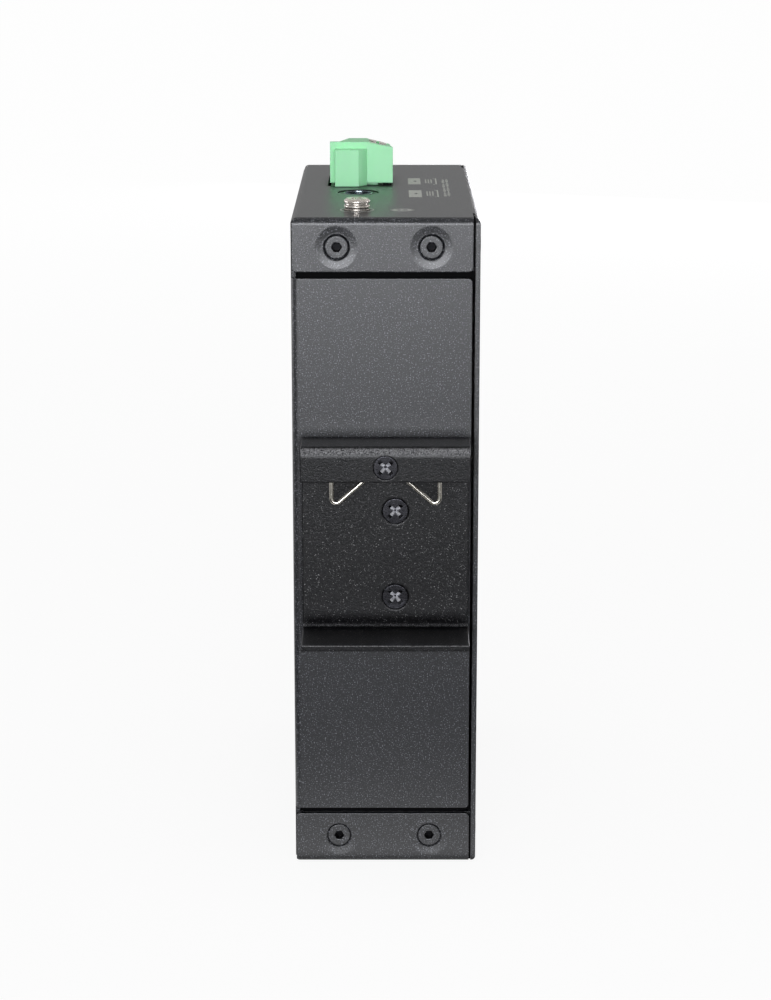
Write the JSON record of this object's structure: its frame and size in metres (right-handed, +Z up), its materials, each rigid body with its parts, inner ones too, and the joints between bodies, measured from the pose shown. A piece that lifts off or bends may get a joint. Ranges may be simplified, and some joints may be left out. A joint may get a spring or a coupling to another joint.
{
  "type": "industrial poe switch",
  "caption": "Slim upright steel-cased network switch with a rear rail bracket, wire rail spring, green screw terminal plug and earth screw on top, and network sockets on its front.",
  "frame": {"origin": "centre of the case's flat underside", "axes": "+X to the right seen from the rear, +Y from the rear panel with the rail bracket towards the port panel, +Z up"},
  "size_m": [0.0382, 0.1073, 0.1465],
  "materials": {
    "powder_coat_shell": "fine textured powder coat",
    "powder_coat_bracket": "fine textured powder coat",
    "nickel_screw": "nickel plated",
    "black_oxide_screw": "black zinc plated",
    "spring_steel": "drawn spring wire",
    "zinc_steel": "bright zinc plated",
    "green_polyamide": "moulded satin",
    "black_moulding": "moulded satin",
    "tinned_shield": "tinned sheet",
    "contact_metal": "gold flashed",
    "circuit_board": "solder mask",
    "clear_guide": "clear moulded",
    "chip_epoxy": "moulded epoxy",
    "bare_aluminium": "extruded",
    "print_ink": "screen printed ink"
  },
  "bodies": {
    "root": {"board_pillars": "zinc_steel", "board_screws": "zinc_steel", "bracket_screws": "black_oxide_screw", "capacitors": "bare_aluminium", "chassis": "powder_coat_shell", "clamp_screws": "nickel_screw", "cover": "powder_coat_shell", "din_bracket": "powder_coat_bracket", "front_flange_screws": "black_oxide_screw", "ground_flat_washer": "nickel_screw", "ground_nut": "zinc_steel", "ground_screw": "nickel_screw", "ground_spring_washer": "nickel_screw", "heat_sink": "bare_aluminium", "hook_screw": "black_oxide_screw", "main_board": "circuit_board", "port_1_insert": "black_moulding", "port_1_shield": "tinned_shield", "port_2_insert": "black_moulding", "port_2_shield": "tinned_shield", "port_3_insert": "black_moulding", "port_3_shield": "tinned_shield", "port_4_insert": "black_moulding", "port_4_shield": "tinned_shield", "port_5_insert": "black_moulding", "port_5_shield": "tinned_shield", "port_contacts": "contact_metal", "port_lights": "clear_guide", "port_transformers": "black_moulding", "power_chip": "chip_epoxy", "power_coils": "chip_epoxy", "power_socket": "black_moulding", "power_socket_pin": "contact_metal", "press_nuts": "zinc_steel", "rail_spring": "spring_steel", "rear_flange_screws": "black_oxide_screw", "side_screws": "black_oxide_screw", "spring_nut": "zinc_steel", "status_lights": "clear_guide", "switch_chip": "chip_epoxy", "terminal_header": "green_polyamide", "terminal_pins": "contact_metal", "terminal_plug": "green_polyamide"}
  },
  "joints": []
}
